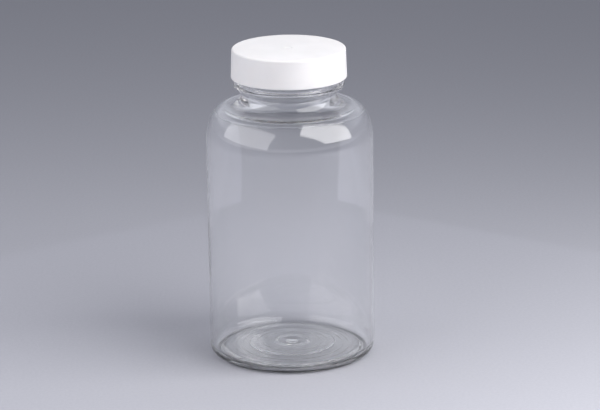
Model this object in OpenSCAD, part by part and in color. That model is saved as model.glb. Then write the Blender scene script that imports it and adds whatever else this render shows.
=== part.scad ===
// Clear wide-mouth packer bottle with a continuous-thread screw cap and a foam liner.
// The origin is the centre of the base, on the surface the bottle stands on, and +Z runs up its axis.

/* [Bottle body] */
// Outside diameter of the straight wall
body_d = 59.8; // [56:0.1:64]
// Height of the bottle, from the surface it stands on to the rim of its mouth
finish_top = 110.3; // [105:0.1:125]
// Wall thickness of the blown body
wall = 0.6; // [0.5:0.05:0.9]
// Height of the rounded shoulder
shoulder_h = 12.5; // [11:0.5:15]
// Height of the rounded heel
heel_h = 4; // [3:0.5:6]

/* [Base] */
// Outside diameter of the ring that the bottle stands on
foot_d = 54.4; // [52.5:0.1:54.4]
// Width of that flat ring
foot_w = 1.6; // [1:0.1:2.2]
// Rise of the underside at the middle of the base
push_up = 2.5; // [2:0.1:4]
// Thickness of the base panel
base_wall = 0.9; // [0.8:0.05:1.2]

/* [Neck finish] */
// Inside diameter of the mouth
mouth_d = 28.5; // [27.6:0.1:29]
// Outside diameter of the neck between its threads
neck_d = 34.8; // [34.5:0.1:35.1]
// Outside diameter over the threads
thread_d = 37.2; // [36.9:0.1:37.4]
// Outside diameter of the bead under the cap
bead_d = 39.4; // [38.4:0.1:40.4]
// Height from the bead's top face to the rim of the mouth
finish_h = 10.1; // [9.8:0.1:10.4]
// Height of the hollow curve where the neck runs into the shoulder
neck_fillet = 4; // [3:0.25:5]
// How far that curve reaches out from the neck
neck_flare = 6; // [4:0.25:7]

/* [Thread] */
// Length of the bottle's thread, in turns
neck_turns = 1.04; // [0.9:0.02:1.1]
// Length of the cap's thread, in turns
cap_turns = 1.16; // [0.9:0.02:1.18]

/* [Cap] */
// Outside diameter at the bottom of the skirt
cap_d = 41.4; // [41.2:0.1:42.4]
// Height of the cap
cap_h = 10.55; // [10.5:0.05:11]
// Thickness of the cap's top panel
cap_top = 1.4; // [1.2:0.1:1.6]
// Rounding of the cap's top edge
cap_edge = 0.7; // [0.4:0.1:1]
// How much the skirt narrows on its way up, on the radius
cap_draft = 0.35; // [0.1:0.05:0.4]

/* [Liner] */
// Thickness of the foam liner
liner_t = 0.94; // [0.9:0.02:0.98]
// Diameter of the foam liner
liner_d = 37.4; // [37:0.1:37.5]

/* [Hidden] */

$fn = 96;

// Rise of the thread in one turn: this finish has 6 threads to the inch
lead = 25.4 / 6;
// How deep a thread's root sits in the wall that it stands on
overlap = 0.3;

// Radii of the bottle
body_r = body_d / 2;
inner_r = body_r - wall;
foot_r = foot_d / 2;
mouth_r = mouth_d / 2;
neck_r = neck_d / 2;

// Levels of the bottle
bead_top = finish_top - finish_h;
bead_t = 1.6;
bead_round = 0.5;
bead_over = 0.2;
bead_under = 0.4;
neck_plain = 2.8;
fillet_r = neck_r + neck_flare;
fillet_z = bead_top - bead_t - neck_plain;
shoulder_top = fillet_z - neck_fillet;
shoulder_z = shoulder_top - shoulder_h;
shoulder_wall = 0.9;
inner_fillet_rise = 1;
rim_round = 0.5;

// Base panel: a shallow dome with a stepped ring, a round bead and the gate mark at its middle
foot_curve = 3;
foot_shift = 0.4;
heel_shift = 1;
heel_rise = 0.5;
panel_r = foot_r - foot_w - foot_curve;
panel_rise = 1.4;
step_r = 15.3;
step_w = 0.6;
step_h = 0.25;
ring_r = 5.8;
ring_w = 0.9;
ring_h = 0.3;
gate_r = 1.4;
gate_h = 0.7;
gate_slope = 0.4;

// Levels of the cap, which leaves a seat of seat_gap above and below its liner
seat_gap = 0.03;
cap_seat = finish_top + liner_t + 2 * seat_gap;
cap_z1 = cap_seat + cap_top;
cap_z0 = cap_z1 - cap_h;
cap_r = cap_d / 2;
bore_clearance = 0.3;
cap_bore_r = thread_d / 2 + bore_clearance;
cap_chamfer = 0.3;
bore_lead = [0.4, 0.6];
keeper_r = 18.4;
keeper_h = 0.45;
keeper_top = finish_top - 0.1;

// Thread sections: width at the wall and at the tip, and the tip's distance from the wall
neck_thread = [2.4, 0.9, (thread_d - neck_d) / 2];
cap_thread = [2.2, 0.8, 1.25];
thread_rim_gap = 1.2;
thread_skirt_gap = 0.15;
thread_under = 1.7;
steps_per_turn = 48;
fade_turns = 0.1;
fade_floor = 0.08;

// Middle of the bottle's thread where it starts, at its low end, and where that start faces
neck_thread_z = finish_top - thread_rim_gap - neck_thread[0] / 2 - lead * neck_turns;
neck_thread_a = 20;
// The cap's thread lies on the same helix, thread_under below the bottle's
cap_thread_z = cap_z0 + cap_thread[0] / 2 + thread_skirt_gap;
cap_thread_a = neck_thread_a + 360 * (cap_thread_z + thread_under - neck_thread_z) / lead;

// Points of an arc of an ellipse about (cx, cy), from angle a0 to a1, leaving out the first skip points
function arc(cx, cy, rx, ry, a0, a1, n = 12, skip = 0) =
    [for (i = [skip:n]) let (a = a0 + (a1 - a0) * i / n) [cx + rx * cos(a), cy + ry * sin(a)]];

// Height of the base panel's underside at radius r
function dome(r) = push_up - (push_up - panel_rise) * pow(r / panel_r, 2);

// Points along the base panel from radius r0 to r1, raised by rise
function dome_points(r0, r1, rise, n = 3) =
    [for (i = [0:n]) let (r = r0 + (r1 - r0) * i / n) [r, dome(r) + rise]];

// 1 along the thread, falling to fade_floor over fade_turns at each end; t is in turns
function fade(t, turns) =
    let (s = min(1, min(t, turns - t) / fade_turns))
    fade_floor + (1 - fade_floor) * sin(90 * s);

// Section of a thread that stands outwards (side 1) or inwards (side -1) from a wall of radius r
function thread_section(r, section, side, height) =
    let (root = r - side * overlap, tip = r + side * section[2] * height)
    [[root, -section[0] / 2], [tip, -section[1] / 2 * height - section[0] / 2 * (1 - height)],
     [tip, section[1] / 2 * height + section[0] / 2 * (1 - height)], [root, section[0] / 2]];

// A thread ridge swept up a right-hand helix, from height z and angle a
module thread(r, section, side, z, a, turns) {
    n = ceil(turns * steps_per_turn);
    rings = [for (i = [0:n])
        let (t = turns * i / n, turn = a + 360 * t)
        [for (p = thread_section(r, section, side, fade(t, turns)))
            [p[0] * cos(turn), p[0] * sin(turn), z + lead * t + p[1]]]];
    points = [for (ring = rings) for (p = ring) p];
    order = side > 0 ? [3, 2, 1, 0] : [0, 1, 2, 3];
    sides = [for (i = [0:n - 1]) for (j = [0:3])
        let (k = (j + 1) % 4, b = 4 * i)
        each [[b + order[j], b + 4 + order[j], b + 4 + order[k]],
              [b + order[j], b + 4 + order[k], b + order[k]]]];
    ends = [[for (j = [0:3]) order[j]], [for (j = [3:-1:0]) 4 * n + order[j]]];
    polyhedron(points, concat(sides, ends), convexity = 4);
}

// Underside of the base, from the axis out to the flat foot ring
function base_under() = concat(
    [[0, dome(0) - gate_h], [gate_r - gate_slope, dome(0) - gate_h], [gate_r, dome(gate_r)]],
    arc(ring_r, dome(ring_r), ring_w / 2, ring_h, 180, 360, 6),
    dome_points(ring_r + ring_w, step_r - step_w / 2, 0),
    dome_points(step_r + step_w / 2, panel_r - foot_curve, -step_h),
    arc(panel_r, 0, foot_curve, panel_rise - step_h, 90, 0, 8));

// Inside of the base, from the straight wall in to the axis
function base_inside() = concat(
    arc(foot_r - heel_shift, heel_h + heel_rise, inner_r - foot_r + heel_shift,
        heel_h + heel_rise - base_wall, 0, -90, 10),
    arc(panel_r - foot_shift, base_wall, foot_curve - foot_shift, panel_rise - step_h, 0, 90, 8),
    dome_points(panel_r - foot_curve - foot_shift, step_r + step_w, base_wall - step_h, 2),
    dome_points(step_r - step_w / 2, 0, base_wall, 5));

// Outside of the bottle, from the heel up to the rim
function outer_wall() = concat(
    arc(foot_r, heel_h, body_r - foot_r, heel_h, -90, 0),
    arc(fillet_r, shoulder_z, body_r - fillet_r, shoulder_h, 0, 90, 20),
    arc(fillet_r, fillet_z, neck_flare, neck_fillet, 270, 180, 12, 1),
    [[neck_r, bead_top - bead_t - bead_under]],
    arc(bead_d / 2 - bead_round, bead_top - bead_t + bead_round, bead_round, bead_round, -90, 0, 5),
    arc(bead_d / 2 - bead_round, bead_top - bead_round, bead_round, bead_round, 0, 90, 5),
    [[neck_r, bead_top + bead_over]],
    arc(neck_r - rim_round, finish_top - rim_round, rim_round, rim_round, 0, 90, 5));

// Inside of the bottle, from the rim down to the straight wall
function inner_wall() = concat(
    arc(mouth_r + rim_round, finish_top - rim_round, rim_round, rim_round, 90, 180, 5),
    arc(fillet_r, fillet_z + inner_fillet_rise, fillet_r - mouth_r,
        neck_fillet + inner_fillet_rise + shoulder_wall, 180, 270, 14),
    arc(fillet_r, shoulder_z, inner_r - fillet_r, shoulder_h - shoulder_wall, 90, 0, 20, 1));

// One-piece blown bottle: base, body, shoulder, neck, bead and thread
module bottle() {
    color([0.86, 0.89, 0.93, 0.35])
    union() {
        rotate_extrude()
            polygon(concat(base_under(), outer_wall(), inner_wall(), base_inside()));
        thread(neck_r, neck_thread, 1, neck_thread_z, neck_thread_a, neck_turns);
    }
}

// Foam disc that seals the rim
module cap_liner() {
    color([0.94, 0.94, 0.92])
    translate([0, 0, finish_top + seat_gap])
        cylinder(h = liner_t, d = liner_d);
}

// Section of the cap's shell, with the keeper ridge that holds the liner in
function cap_section() = concat(
    [[0, cap_z1], [0, cap_seat], [cap_bore_r, cap_seat]],
    [[cap_bore_r, keeper_top], [keeper_r, keeper_top - keeper_h / 3], [cap_bore_r, keeper_top - keeper_h]],
    [[cap_bore_r, cap_z0 + bore_lead[1]], [cap_bore_r + bore_lead[0], cap_z0]],
    [[cap_r - cap_chamfer, cap_z0], [cap_r, cap_z0 + cap_chamfer]],
    arc(cap_r - cap_draft - cap_edge, cap_z1 - cap_edge, cap_edge, cap_edge, 0, 90, 6));

// Smooth-sided screw cap with its thread inside
module screw_cap() {
    color([0.96, 0.96, 0.96])
    union() {
        rotate_extrude()
            polygon(cap_section());
        thread(cap_bore_r, cap_thread, -1, cap_thread_z, cap_thread_a, cap_turns);
    }
}

bottle();
cap_liner();
screw_cap();
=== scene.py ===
"""Looks of the clear screw-cap bottle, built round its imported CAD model.

The sizes of the bottle, the cap and the liner are in millimetres, and lights and the camera are in metres.
"""

import math

import bpy
import numpy as np
from mathutils import Matrix, Vector


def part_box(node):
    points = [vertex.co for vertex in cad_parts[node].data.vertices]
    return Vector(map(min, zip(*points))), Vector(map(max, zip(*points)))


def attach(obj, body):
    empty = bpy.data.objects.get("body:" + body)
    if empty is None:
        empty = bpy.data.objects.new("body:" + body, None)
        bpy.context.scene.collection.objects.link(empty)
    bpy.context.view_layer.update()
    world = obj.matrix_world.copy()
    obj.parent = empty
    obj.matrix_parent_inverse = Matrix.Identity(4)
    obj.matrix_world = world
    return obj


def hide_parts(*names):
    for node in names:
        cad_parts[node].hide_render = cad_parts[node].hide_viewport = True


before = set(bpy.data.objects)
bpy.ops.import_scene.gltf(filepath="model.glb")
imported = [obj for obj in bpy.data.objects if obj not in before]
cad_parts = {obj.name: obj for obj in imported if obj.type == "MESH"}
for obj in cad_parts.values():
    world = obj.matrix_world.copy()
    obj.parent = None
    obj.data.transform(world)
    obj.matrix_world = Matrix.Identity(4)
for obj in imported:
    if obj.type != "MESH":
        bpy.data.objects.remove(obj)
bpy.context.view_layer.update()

MM = 0.001

# Driving sizes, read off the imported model, in millimetres
bottle_lo, bottle_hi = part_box("bottle")
cap_lo, cap_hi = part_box("screw_cap")
liner_lo, liner_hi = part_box("cap_liner")
BODY_R = (bottle_hi.x - bottle_lo.x) / 2 / MM
RIM_Z = bottle_hi.z / MM
CAP_R = (cap_hi.x - cap_lo.x) / 2 / MM
CAP_Z0, CAP_Z1 = cap_lo.z / MM, cap_hi.z / MM
LINER_R = (liner_hi.x - liner_lo.x) / 2 / MM
LINER_Z0, LINER_Z1 = liner_lo.z / MM, liner_hi.z / MM

# Sizes of the bottle that the box doesn't give, in millimetres
WALL = 0.6
SHOULDER_WALL = 0.9
FOOT_R, FOOT_W, FOOT_ROUND = 27.2, 1.6, 0.45
HEEL_H, HEEL_SHIFT, HEEL_RISE = 4.0, 1, 0.5
SHOULDER_H = 12.5
NECK_R, THREAD_R, MOUTH_R = 17.4, 18.6, 14.25
NECK_FILLET, NECK_FLARE = 4.0, 6.0
INNER_RISE = 1.0
FINISH_H, NECK_PLAIN = 10.1, 2.8
BEAD_R, BEAD_T, BEAD_TOP = 19.7, 1.6, RIM_Z - FINISH_H
FILLET_R = NECK_R + NECK_FLARE
SHOULDER_TOP = BEAD_TOP - BEAD_T - NECK_PLAIN - NECK_FILLET
SHOULDER_Z = SHOULDER_TOP - SHOULDER_H
SHOULDER_LINE_R, SHOULDER_LINE_W = 26.6, 0.3
PUSH_UP, PANEL_R, PANEL_RISE, PANEL_SHIFT = 2.5, 22.6, 1.4, 0.4
BASE_WALL = 0.9
STEP_R, STEP_W, STEP_H = 15.3, 0.7, 0.25
RING_R, RING_W, RING_H = 5.8, 0.7, 0.30
FINE_RINGS, FINE_W, FINE_H = (10.4, 12.9, 18.2, 20.6), 0.6, 0.04
GATE_SPREAD, GATE_RISE = 4.0, 0.25
SEAM_H, SEAM_HALF_ANGLE = 0.025, 0.0034

# Thread, the same on the bottle and in the cap: rise of one turn, and where the bottle's starts
LEAD = 25.4 / 6
NECK_TURNS, CAP_TURNS = 1.04, 1.16
NECK_ROOT_W, CAP_ROOT_W, TIP_W = 2.4, 2.2, 0.7
RIM_GAP, SKIRT_GAP, THREAD_UNDER = 2.4, 1.25, 1.7
NECK_THREAD_Z = RIM_Z - RIM_GAP - LEAD * NECK_TURNS
NECK_THREAD_A = 20.0
CAP_THREAD_Z = CAP_Z0 + SKIRT_GAP
CAP_THREAD_A = NECK_THREAD_A + 360 * (CAP_THREAD_Z + THREAD_UNDER - NECK_THREAD_Z) / LEAD
CAP_THREAD_DEPTH = 1.2

# The cap's bore, and the ridge in it that keeps the liner in
BORE_CLEARANCE = 0.3
CAP_BORE_R = THREAD_R + BORE_CLEARANCE
KEEPER_R, KEEPER_H, KEEPER_Z = 18.4, 0.45, RIM_Z - 0.1


# ---------------------------------------------------------------- outlines

def arc(cx, cy, rx, ry, a0, a1, n, skip=0):
    """Points of an arc of an ellipse from angle a0 to a1 in degrees, leaving out the first skip points."""
    angles = [math.radians(a0 + (a1 - a0) * i / n) for i in range(skip, n + 1)]
    return [(cx + rx * math.cos(a), cy + ry * math.sin(a)) for a in angles]


def line(p, q, n, skip=1):
    """n equal steps from p to q, leaving out the first skip points."""
    steps = [i / n for i in range(skip, n + 1)]
    return [(p[0] + (q[0] - p[0]) * t, p[1] + (q[1] - p[1]) * t) for t in steps]


def smooth(t):
    """0 below 0, 1 above 1, and a smooth step between."""
    t = np.clip(t, 0, 1)
    return t * t * (3 - 2 * t)


def bump(d, half_width):
    """1 at d = 0, falling smoothly to 0 at half_width."""
    return smooth(1 - np.abs(d) / half_width)


def panel_z(r, sharp=1.0):
    """Height of the base panel at radius r. sharp scales its moulded rings, softer on the inside."""
    z = PUSH_UP - (PUSH_UP - PANEL_RISE) * (r / PANEL_R) ** 2
    z -= STEP_H * smooth((r - STEP_R + STEP_W / 2) / STEP_W)
    z -= sharp * RING_H * bump(r - RING_R, RING_W)
    for ring in FINE_RINGS:
        z -= sharp * FINE_H * bump(r - ring, FINE_W)
    return z


def base_under():
    """The base's underside, from the axis out to the foot."""
    nub_r, nub_h, nub_round, nub_fillet = 1.3, 0.65, 0.35, 0.3
    top = panel_z(0.0)
    points = [(0.0, top - nub_h)]
    points += line((0.0, top - nub_h), (nub_r - nub_round, top - nub_h), 4)
    points += arc(nub_r - nub_round, top - nub_h + nub_round, nub_round, nub_round, -90, 0, 5, 1)
    points += arc(nub_r + nub_fillet, top - nub_fillet, nub_fillet, nub_fillet, 180, 90, 4)
    spacing = 0.15
    radii = np.arange(nub_r + nub_fillet + spacing, PANEL_R - 0.1, spacing)
    points += [(r, panel_z(r)) for r in radii]
    rise = panel_z(PANEL_R)
    points += arc(PANEL_R, FOOT_ROUND, FOOT_R - FOOT_W - PANEL_R, rise - FOOT_ROUND, 90, 0, 12)
    points += arc(FOOT_R - FOOT_W + FOOT_ROUND, FOOT_ROUND, FOOT_ROUND, FOOT_ROUND, 180, 270, 6, 1)
    return points


def bottle_outside():
    """The outside, from the foot up to the rim."""
    points = line((FOOT_R - FOOT_W + FOOT_ROUND, 0.0), (FOOT_R, 0.0), 4)
    points += arc(FOOT_R, HEEL_H, BODY_R - FOOT_R, HEEL_H, -90, 0, 24, 1)
    points += line((BODY_R, HEEL_H), (BODY_R, SHOULDER_Z), 60)
    points += arc(FILLET_R, SHOULDER_Z, BODY_R - FILLET_R, SHOULDER_H, 0, 90, 110, 1)
    points += arc(FILLET_R, SHOULDER_TOP + NECK_FILLET, NECK_FLARE, NECK_FILLET, 270, 180, 28, 1)
    bead_z0 = BEAD_TOP - BEAD_T
    points += line((NECK_R, SHOULDER_TOP + NECK_FILLET), (NECK_R, bead_z0 - 0.5), 6)
    points += arc(NECK_R + 0.5, bead_z0 - 0.5, 0.5, 0.5, 180, 90, 5, 1)
    points += line((NECK_R + 0.5, bead_z0), (BEAD_R - 0.55, bead_z0 + 0.1), 5)
    points += arc(BEAD_R - 0.55, bead_z0 + 0.65, 0.55, 0.55, -90, 90, 12, 1)
    points += line((BEAD_R - 0.55, bead_z0 + 1.2), (NECK_R + 0.4, BEAD_TOP), 5)
    points += arc(NECK_R + 0.4, BEAD_TOP + 0.4, 0.4, 0.4, 270, 180, 5, 1)
    points += line((NECK_R, BEAD_TOP + 0.4), (NECK_R, RIM_Z - 0.5), 90)
    points += arc(NECK_R - 0.5, RIM_Z - 0.5, 0.5, 0.5, 0, 90, 8, 1)
    return points


def bottle_inside():
    """The inside, from the rim down and in to the axis."""
    points = line((NECK_R - 0.5, RIM_Z), (MOUTH_R + 0.5, RIM_Z), 6)
    points += arc(MOUTH_R + 0.5, RIM_Z - 0.5, 0.5, 0.5, 90, 180, 8, 1)
    neck_z = SHOULDER_TOP + NECK_FILLET + INNER_RISE
    points += line((MOUTH_R, RIM_Z - 0.5), (MOUTH_R, neck_z), 24)
    curve_h = NECK_FILLET + INNER_RISE + SHOULDER_WALL
    points += arc(FILLET_R, neck_z, FILLET_R - MOUTH_R, curve_h, 180, 270, 32, 1)
    inner_r = BODY_R - WALL
    points += arc(FILLET_R, SHOULDER_Z, inner_r - FILLET_R, SHOULDER_H - SHOULDER_WALL, 90, 0, 60, 1)
    heel_r, heel_z = FOOT_R - HEEL_SHIFT, HEEL_H + HEEL_RISE
    points += line((inner_r, SHOULDER_Z), (inner_r, heel_z), 60)
    points += arc(heel_r, heel_z, inner_r - heel_r, heel_z - BASE_WALL, 0, -90, 24, 1)
    flat_r = FOOT_R - FOOT_W - PANEL_SHIFT
    points += line((heel_r, BASE_WALL), (flat_r, BASE_WALL), 4)
    panel_r, soft = PANEL_R - PANEL_SHIFT, 0.4
    top = panel_z(panel_r, soft) + BASE_WALL
    points += arc(panel_r, BASE_WALL, flat_r - panel_r, top - BASE_WALL, 0, 90, 12, 1)
    radii = np.arange(panel_r - 0.2, 0.1, -0.2)
    points += [(r, panel_z(r, soft) + BASE_WALL + GATE_RISE * bump(r, GATE_SPREAD)) for r in radii]
    points += [(0.0, panel_z(0.0, soft) + BASE_WALL + GATE_RISE)]
    return points


# ---------------------------------------------------------------- mesh making

def turn_angles(segments, seams=()):
    """Angles evenly spaced round the axis, with extra ones close to each seam for its thin line."""
    angles = [2 * math.pi * i / segments for i in range(segments)]
    for seam in seams:
        angles += [(seam + side * step) % (2 * math.pi) for side in (-1, 1) for step in (0.0035, 0.007)]
    return np.array(sorted(set(round(a, 6) for a in angles)))


def revolve(name, outline, angles, shape=None):
    """A smooth mesh turned from an outline of (r, z) in millimetres.

    shape(r, z, a, row) returns the moved r and z of one row of points.

    An outline end on the axis becomes a single point.
    """
    outline = np.array(outline)
    n_rows, n_turn = len(outline), len(angles)
    verts, starts = [], []
    for row, (r, z) in enumerate(outline):
        starts.append(len(verts))
        if r < 1e-6:
            verts.append((0.0, 0.0, z * MM))
            continue
        rr, zz = np.full(n_turn, r), np.full(n_turn, z)
        if shape:
            rr, zz = shape(rr, zz, angles, row)
        verts += list(zip(rr * np.cos(angles) * MM, rr * np.sin(angles) * MM, zz * MM))
    faces = []
    for row in range(n_rows - 1):
        a, b = starts[row], starts[row + 1]
        pole_a, pole_b = outline[row][0] < 1e-6, outline[row + 1][0] < 1e-6
        for i in range(n_turn):
            j = (i + 1) % n_turn
            if pole_a:
                faces.append((a, b + j, b + i))
            elif pole_b:
                faces.append((a + i, a + j, b))
            else:
                faces.append((a + i, a + j, b + j, b + i))
    mesh = bpy.data.meshes.new(name)
    mesh.from_pydata(verts, [], faces)
    mesh.validate()
    mesh.update()
    mesh.polygons.foreach_set("use_smooth", [True] * len(mesh.polygons))
    piece = bpy.data.objects.new(name, mesh)
    bpy.context.scene.collection.objects.link(piece)
    return piece


def thread_height(z, a, start_z, start_a, turns, root_w, tip_w):
    """How far a thread ridge stands out, 0 to 1, at height z and angle a, for a right-hand helix."""
    out = np.zeros_like(z)
    a0 = math.radians(start_a)
    for lap in range(-3, 4):
        t = (a - a0) / (2 * math.pi) + lap
        middle = start_z + LEAD * t
        end = smooth(t / 0.09) * smooth((turns - t) / 0.09)
        ridge = smooth((root_w / 2 - np.abs(z - middle)) / ((root_w - tip_w) / 2))
        out = np.maximum(out, np.where((t >= 0) & (t <= turns), end * ridge, 0))
    return out


def ripple(a, z, waves):
    """A slow unevenness round and up a wall, from a few waves of (turns round, height mm, phase, size mm)."""
    return sum(size * np.sin(k * a + 2 * math.pi * z / height + phase) for k, height, phase, size in waves)


# ---------------------------------------------------------------- pieces

SEAMS = (0.0, math.pi)
OUTSIDE_WAVES = [(2, 190.0, 0.4, 0.020), (3, -140.0, 1.9, 0.012),
                 (5, 83.0, 2.6, 0.005), (7, -61.0, 0.8, 0.003)]
INSIDE_WAVES = [(2, -150.0, 2.2, 0.028), (3, 97.0, 0.3, 0.018),
                (5, -66.0, 1.1, 0.008), (9, 43.0, 2.9, 0.004)]


def make_bottle():
    under, outside, inside = base_under(), bottle_outside(), bottle_inside()
    outline = under + outside + inside
    n_under, n_out = len(under), len(under) + len(outside)

    def shape(r, z, a, row):
        body = float(smooth((z[0] - 3) / 8) * smooth((SHOULDER_TOP - z[0]) / 14))
        if n_under <= row < n_out:
            if z[0] > BEAD_TOP + 0.3 and r[0] > NECK_R - 0.05:
                ridge = thread_height(z, a, NECK_THREAD_Z, NECK_THREAD_A, NECK_TURNS, NECK_ROOT_W, TIP_W)
                r = r + (THREAD_R - NECK_R) * ridge
            if SHOULDER_Z < z[0] < SHOULDER_TOP + 1:
                line_out = bump(r - SHOULDER_LINE_R, SHOULDER_LINE_W)
                r, z = r + 0.06 * line_out, z + 0.07 * line_out
            r = r - 0.02 + body * ripple(a, z, OUTSIDE_WAVES)
            seam = sum(bump((a - s + math.pi) % (2 * math.pi) - math.pi, SEAM_HALF_ANGLE) for s in SEAMS)
            if HEEL_H < z[0] < RIM_Z - 1.5:
                r = r + SEAM_H * seam
        elif row >= n_out and z[0] < SHOULDER_TOP:
            r = r + body * ripple(a, z, INSIDE_WAVES)
        return r, z

    piece = revolve("clear_bottle", outline, turn_angles(288, SEAMS), shape)
    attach(piece, "bottle")
    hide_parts("bottle")
    return piece


def cap_outline():
    """The cap's section: top panel, rounded edge, skirt, bottom edge, thread wall, keeper ridge and seat."""
    edge, draft = 0.7, 0.35
    seat = LINER_Z1 + 0.03
    top = [(0.0, CAP_Z1 - 0.12)]
    top += line((0.0, CAP_Z1 - 0.12), (0.9, CAP_Z1 - 0.12), 4)
    top += arc(0.9, CAP_Z1, 0.35, 0.12, -90, 0, 4, 1)
    top += line((1.25, CAP_Z1), (CAP_R - draft - edge, CAP_Z1), 40)
    rounded = arc(CAP_R - draft - edge, CAP_Z1 - edge, edge, edge, 90, 0, 14, 1)
    skirt = line((CAP_R - draft, CAP_Z1 - edge), (CAP_R, CAP_Z0 + 0.35), 36)
    foot = arc(CAP_R - 0.35, CAP_Z0 + 0.35, 0.35, 0.35, 0, -90, 7, 1)
    foot += line((CAP_R - 0.35, CAP_Z0), (CAP_BORE_R + 0.5, CAP_Z0), 3)
    bore = line((CAP_BORE_R + 0.5, CAP_Z0), (CAP_BORE_R, CAP_Z0 + 0.6), 4)
    bore += line((CAP_BORE_R, CAP_Z0 + 0.6), (CAP_BORE_R, KEEPER_Z - KEEPER_H), 70)
    keeper = line((CAP_BORE_R, KEEPER_Z - KEEPER_H), (KEEPER_R, KEEPER_Z - KEEPER_H / 3), 4)
    keeper += line((KEEPER_R, KEEPER_Z - KEEPER_H / 3), (CAP_BORE_R, KEEPER_Z), 4)
    roof = line((CAP_BORE_R, KEEPER_Z), (CAP_BORE_R, seat), 4)
    roof += line((CAP_BORE_R, seat), (0.0, seat), 30)
    return top + rounded + skirt + foot + bore + keeper + roof


def make_cap():
    def shape(r, z, a, row):
        if abs(r[0] - CAP_BORE_R) < 0.01 and z[0] < RIM_Z - 0.6:
            ridge = thread_height(z, a, CAP_THREAD_Z, CAP_THREAD_A, CAP_TURNS, CAP_ROOT_W, TIP_W)
            r = r - CAP_THREAD_DEPTH * ridge
        return r, z

    piece = revolve("white_cap", cap_outline(), turn_angles(256), shape)
    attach(piece, "screw_cap")
    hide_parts("screw_cap")
    return piece


def make_liner():
    """The foam disc, with rounded cut edges and the ring that the rim has pressed into it."""
    edge = 0.15
    bottom = [(0.0, LINER_Z0)]
    bottom += line((0.0, LINER_Z0), (LINER_R - edge, LINER_Z0), 90)
    side = arc(LINER_R - edge, LINER_Z0 + edge, edge, edge, -90, 0, 4, 1)
    side += line((LINER_R, LINER_Z0 + edge), (LINER_R, LINER_Z1 - edge), 3)
    side += arc(LINER_R - edge, LINER_Z1 - edge, edge, edge, 0, 90, 4, 1)
    top = line((LINER_R - edge, LINER_Z1), (0.0, LINER_Z1), 30)

    def shape(r, z, a, row):
        if row <= len(bottom):
            middle = (MOUTH_R + NECK_R) / 2
            z = z + 0.09 * bump(r - middle, (NECK_R - MOUTH_R) / 2 + 0.3)
        return r, z

    piece = revolve("foam_liner", bottom + side + top, turn_angles(160), shape)
    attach(piece, "cap_liner")
    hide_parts("cap_liner")
    return piece


# ---------------------------------------------------------------- materials

def new_material(name):
    material = bpy.data.materials.new(name)
    material.use_nodes = True
    nodes, links = material.node_tree.nodes, material.node_tree.links
    return material, nodes, links, nodes["Principled BSDF"]


def noise_node(nodes, links, scale, detail, stretch=(1, 1, 1)):
    """A noise texture on the object's own coordinates, stretched along its axes."""
    coord = nodes.new("ShaderNodeTexCoord")
    mapping = nodes.new("ShaderNodeMapping")
    mapping.inputs["Scale"].default_value = stretch
    noise = nodes.new("ShaderNodeTexNoise")
    noise.inputs["Scale"].default_value = scale
    noise.inputs["Detail"].default_value = detail
    links.new(coord.outputs["Object"], mapping.inputs["Vector"])
    links.new(mapping.outputs["Vector"], noise.inputs["Vector"])
    return noise


def map_range(nodes, links, source, low, high, from_low=0.3, from_high=0.7):
    node = nodes.new("ShaderNodeMapRange")
    node.inputs["From Min"].default_value = from_low
    node.inputs["From Max"].default_value = from_high
    node.inputs["To Min"].default_value = low
    node.inputs["To Max"].default_value = high
    links.new(source, node.inputs["Value"])
    return node


def colour_ramp(nodes, links, source, dark, light, low=0.35, high=0.65):
    ramp = nodes.new("ShaderNodeValToRGB")
    ramp.color_ramp.elements[0].position = low
    ramp.color_ramp.elements[1].position = high
    ramp.color_ramp.elements[0].color = (*dark, 1)
    ramp.color_ramp.elements[1].color = (*light, 1)
    links.new(source, ramp.inputs["Fac"])
    return ramp


def add_bump(nodes, links, bsdf, source, distance, strength=1.0):
    node = nodes.new("ShaderNodeBump")
    node.inputs["Distance"].default_value = distance
    node.inputs["Strength"].default_value = strength
    links.new(source, node.inputs["Height"])
    links.new(node.outputs["Normal"], bsdf.inputs["Normal"])
    return node


def pet_material():
    """Clear PET: slightly uneven and faintly hazy, as blow-moulding leaves it."""
    material, nodes, links, bsdf = new_material("clear_pet_look")
    bsdf.inputs["Transmission Weight"].default_value = 1.0
    bsdf.inputs["IOR"].default_value = 1.57
    bsdf.inputs["Sheen Weight"].default_value = 0.12
    bsdf.inputs["Sheen Roughness"].default_value = 0.4
    tint = noise_node(nodes, links, 60, 2, (1, 1, 0.4))
    ramp = colour_ramp(nodes, links, tint.outputs["Fac"], (0.988, 0.992, 0.996), (1.0, 1.0, 1.0))
    links.new(ramp.outputs["Color"], bsdf.inputs["Base Color"])
    haze = noise_node(nodes, links, 180, 3, (1, 1, 0.25))
    rough = map_range(nodes, links, haze.outputs["Fac"], 0.015, 0.05)
    links.new(rough.outputs["Result"], bsdf.inputs["Roughness"])
    wave = noise_node(nodes, links, 110, 2, (1, 1, 0.3))
    add_bump(nodes, links, bsdf, wave.outputs["Fac"], 0.00002, 0.5)
    return material


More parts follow.
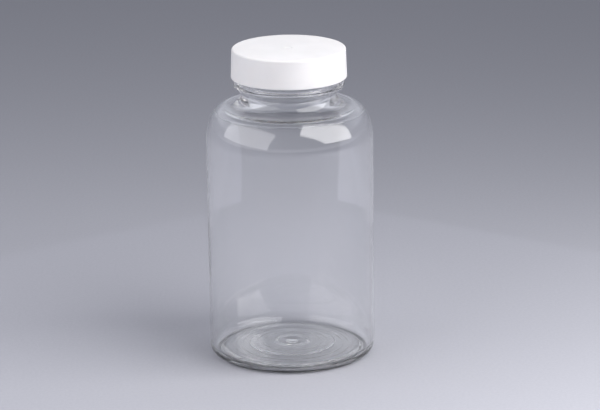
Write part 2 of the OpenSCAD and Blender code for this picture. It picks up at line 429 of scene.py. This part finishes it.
def cap_material():
    """White polypropylene with a fine moulded grain and a faint swirl from the flow."""
    material, nodes, links, bsdf = new_material("white_pp_look")
    flow = noise_node(nodes, links, 90, 4, (1, 1, 1))
    ramp = colour_ramp(nodes, links, flow.outputs["Fac"], (0.83, 0.82, 0.825), (0.87, 0.86, 0.865))
    links.new(ramp.outputs["Color"], bsdf.inputs["Base Color"])
    grain = noise_node(nodes, links, 5200, 2)
    rough = map_range(nodes, links, grain.outputs["Fac"], 0.34, 0.5)
    links.new(rough.outputs["Result"], bsdf.inputs["Roughness"])
    bsdf.inputs["Subsurface Weight"].default_value = 0.25
    bsdf.inputs["Subsurface Radius"].default_value = (1.0, 0.9, 0.85)
    bsdf.inputs["Subsurface Scale"].default_value = 0.0009
    bsdf.inputs["IOR"].default_value = 1.49
    add_bump(nodes, links, bsdf, grain.outputs["Fac"], 0.000012, 0.7)
    return material


def liner_material():
    """Foamed polyethylene: off-white, matt, with fine closed cells."""
    material, nodes, links, bsdf = new_material("liner_foam_look")
    coord = nodes.new("ShaderNodeTexCoord")
    cells = nodes.new("ShaderNodeTexVoronoi")
    cells.inputs["Scale"].default_value = 2600
    links.new(coord.outputs["Object"], cells.inputs["Vector"])
    ramp = colour_ramp(nodes, links, cells.outputs["Distance"],
                       (0.86, 0.86, 0.84), (0.78, 0.78, 0.76), 0.1, 0.6)
    links.new(ramp.outputs["Color"], bsdf.inputs["Base Color"])
    bsdf.inputs["Roughness"].default_value = 0.75
    add_bump(nodes, links, bsdf, cells.outputs["Distance"], 0.00004, 0.6)
    return material


def floor_material():
    """Pale matt paper with a faint grey-blue cast."""
    material, nodes, links, bsdf = new_material("floor_paper")
    grain = noise_node(nodes, links, 900, 3)
    ramp = colour_ramp(nodes, links, grain.outputs["Fac"], (0.445, 0.451, 0.502), (0.465, 0.471, 0.522))
    links.new(ramp.outputs["Color"], bsdf.inputs["Base Color"])
    bsdf.inputs["Roughness"].default_value = 0.9
    bsdf.inputs["Specular IOR Level"].default_value = 0.1
    return material


def wear(piece, material):
    piece.data.materials.clear()
    piece.data.materials.append(material)


# ---------------------------------------------------------------- stage, lights and camera

def make_floor():
    """A wide round floor at the level of the bottle's foot."""
    rings = [(0.0, 0.0)] + [(r, 0.0) for r in (200.0, 500.0, 1000.0, 2000.0, 3500.0)]
    floor = revolve("floor", rings[::-1], turn_angles(96))
    wear(floor, floor_material())
    return floor


def area_light(name, azimuth, elevation, distance, width, height, radiance, turn, tip, twist):
    """A soft panel round the bottle's shoulder. Azimuth 0 is in front of the bottle and 90 on its right.

    It faces the bottle, turned sideways and tipped by those angles, and then twisted in its own plane.
    """
    centre = Vector((0, 0, 0.085))
    a, e = math.radians(azimuth), math.radians(elevation)
    way = Vector((math.cos(e) * math.sin(a), -math.cos(e) * math.cos(a), math.sin(e)))
    side = Vector((0, 0, 1)).cross(-way).normalized()
    above = (-way).cross(side)
    facing = (-way + math.tan(math.radians(turn)) * side + math.tan(math.radians(tip)) * above).normalized()
    across = Vector((0, 0, 1)).cross(facing).normalized()
    up = facing.cross(across)
    t = math.radians(twist)
    u, v = across * math.cos(t) + up * math.sin(t), across * math.sin(t) - up * math.cos(t)

    data = bpy.data.lights.new(name, "AREA")
    data.shape = "RECTANGLE"
    data.size, data.size_y = width, height
    data.energy = max(radiance) * math.pi * width * height
    data.color = [c / max(radiance) for c in radiance]
    light = bpy.data.objects.new(name, data)
    bpy.context.scene.collection.objects.link(light)
    turned = Matrix((u, v, -facing)).transposed().to_4x4()
    light.matrix_world = Matrix.Translation(centre + way * distance) @ turned
    light.visible_camera = False
    return light


# Brightness of the surroundings by height, 0 at the horizon and 1 overhead
FRONT_SKY = [(0.05, (0.60, 0.60, 0.65)), (0.10, (0.10, 0.10, 0.11)),
             (0.30, (0.12, 0.12, 0.13)), (0.80, (0.10, 0.10, 0.11))]
BACK_SKY = [(0.20, (0.28, 0.29, 0.34)), (0.30, (0.75, 0.77, 0.85)),
            (0.60, (0.75, 0.77, 0.85)), (0.90, (0.60, 0.62, 0.66))]


def make_world():
    """Soft surroundings: dark in front of the bottle, mid-grey behind it and brighter higher up."""
    world = bpy.data.worlds.new("studio")
    world.use_nodes = True
    bpy.context.scene.world = world
    nodes, links = world.node_tree.nodes, world.node_tree.links
    coord = nodes.new("ShaderNodeTexCoord")
    split = nodes.new("ShaderNodeSeparateXYZ")
    links.new(coord.outputs["Generated"], split.inputs["Vector"])
    behind = map_range(nodes, links, split.outputs["Y"], 0, 1, -0.1, 0.5)
    mix = nodes.new("ShaderNodeMix")
    mix.data_type = "RGBA"
    links.new(behind.outputs["Result"], mix.inputs["Factor"])
    for socket, stops in (("A", FRONT_SKY), ("B", BACK_SKY)):
        ramp = nodes.new("ShaderNodeValToRGB")
        links.new(split.outputs["Z"], ramp.inputs["Fac"])
        stop_list = ramp.color_ramp.elements
        while len(stop_list) < len(stops):
            stop_list.new(1.0)
        for stop, (height, colour) in zip(stop_list, stops):
            stop.position = height
            stop.color = (*colour, 1)
        links.new(ramp.outputs["Color"], next(i for i in mix.inputs if i.name == socket and i.type == "RGBA"))
    colour = next(o for o in mix.outputs if o.type == "RGBA")
    links.new(colour, nodes["Background"].inputs["Color"])


def make_camera():
    """A long lens from in front and a little above."""
    data = bpy.data.cameras.new("camera")
    data.sensor_width = 36
    data.lens = 191
    camera = bpy.data.objects.new("camera", data)
    bpy.context.scene.collection.objects.link(camera)
    bpy.context.scene.camera = camera
    distance, height = 1.1, 0.3776
    yaw, pitch, roll = 0.0031, 0.2858, -0.0116
    ahead = Vector((math.sin(yaw) * math.cos(pitch), math.cos(yaw) * math.cos(pitch), -math.sin(pitch)))
    right = Vector((math.cos(yaw), -math.sin(yaw), 0))
    up = right.cross(ahead)
    tilt_right = right * math.cos(roll) + up * math.sin(roll)
    tilt_up = up * math.cos(roll) - right * math.sin(roll)
    turn = Matrix((tilt_right, tilt_up, -ahead)).transposed()
    camera.matrix_world = Matrix.Translation((0, -distance, height)) @ turn.to_4x4()
    return camera


# ---------------------------------------------------------------- build

wear(make_bottle(), pet_material())
wear(make_cap(), cap_material())
wear(make_liner(), liner_material())

make_floor()
make_world()
area_light("key_right", 52.6, 28.2, 0.45, 0.52, 0.52, (3.9, 3.85, 3.8), 37.8, -42.0, 15.8)
area_light("fill_left", -62.0, 28.0, 0.45, 0.66, 0.39, (1.7, 1.68, 1.70), -7.5, 10.9, 2.0)
# Two dim low cards beside the bottle, which lighten the edges of its wall
area_light("card_right", 118, -13, 0.19, 0.34, 0.08, (0.09, 0.09, 0.10), 28, -13, 0)
area_light("card_left", -118, -13, 0.19, 0.34, 0.08, (0.07, 0.07, 0.08), -28, -13, 0)
make_camera()

scene = bpy.context.scene
scene.view_settings.view_transform = "Standard"
scene.view_settings.look = "None"
# Light runs along inside the clear wall, so its paths are long
scene.cycles.max_bounces = 128
scene.cycles.glossy_bounces = 128
scene.cycles.transmission_bounces = 128
